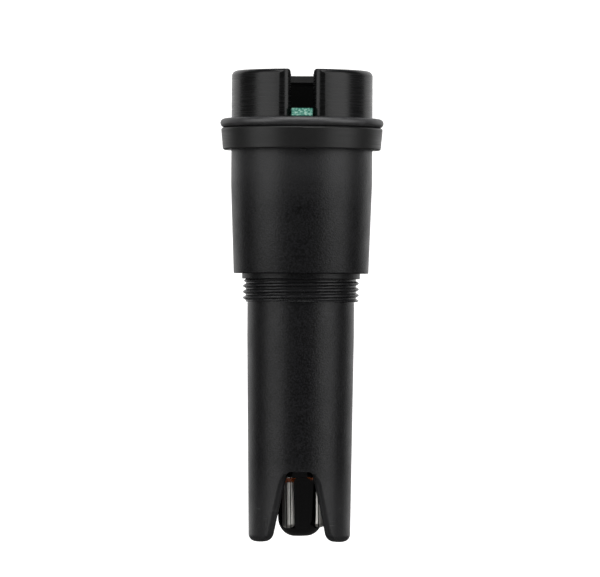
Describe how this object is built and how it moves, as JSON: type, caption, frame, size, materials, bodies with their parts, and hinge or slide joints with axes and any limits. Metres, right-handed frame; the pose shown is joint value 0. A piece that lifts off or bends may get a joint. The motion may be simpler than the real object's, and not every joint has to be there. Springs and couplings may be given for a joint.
{
  "type": "water quality probe",
  "caption": "Plug-in conductivity and temperature probe: keyed black plug with a seal and flange, tapered barrel, cap thread, and a slotted guard round a core with steel electrode pins.",
  "frame": {"origin": "on the probe's axis, in the plane of the flange's upper face that the plug seal sits on", "axes": "+Z along the axis into the plug, -Z towards the guard's tip, -Y towards the key slot and the side with the pins"},
  "size_m": [0.0326, 0.0326, 0.094],
  "materials": {
    "sleeve_plastic": "black, spark-eroded matt moulding",
    "plug_plastic": "black, satin moulding",
    "seal_rubber": "black, satin moulded rubber",
    "board_laminate": "green solder mask on glass-filled laminate",
    "header_plastic": "black, glass-filled",
    "gold_plate": "thin gold plate on spring bronze",
    "chip_epoxy": "black moulded epoxy",
    "tin_plate": "dull tin plate",
    "capacitor_ceramic": "tan fired ceramic with tinned ends",
    "resistor_ceramic": "black glazed top with tinned ends",
    "solder": "bright solder",
    "core_plastic": "black, polished moulding",
    "pin_steel": "polished stainless steel",
    "amber_resin": "clear amber sealing resin",
    "wire_red": "red insulation",
    "wire_white": "white insulation",
    "wire_yellow": "yellow insulation",
    "bead_epoxy": "dark green dipped epoxy",
    "filling_compound": "pale heat-conducting compound",
    "potting_resin": "brown cast resin"
  },
  "bodies": {
    "root": {"probe_sleeve": "sleeve_plastic", "plug_housing": "plug_plastic", "plug_seal": "seal_rubber", "circuit_board": "board_laminate", "socket_header": "header_plastic", "socket_contacts": "gold_plate", "memory_chip": "chip_epoxy", "memory_chip_leads": "tin_plate", "chip_capacitors": "capacitor_ceramic", "chip_resistors": "resistor_ceramic", "contact_solder": "solder", "wire_solder": "solder", "sensor_core": "core_plastic", "core_seal": "seal_rubber", "electrode_pin_left": "pin_steel", "electrode_pin_right": "pin_steel", "pin_resin_left": "amber_resin", "pin_resin_right": "amber_resin", "electrode_wire_left": "wire_red", "electrode_wire_right": "wire_white", "pin_solder": "solder", "thermistor": "bead_epoxy", "thermistor_leads": "tin_plate", "thermistor_wires": "wire_yellow", "core_filling": "filling_compound", "potting_plug": "potting_resin"}
  },
  "joints": []
}
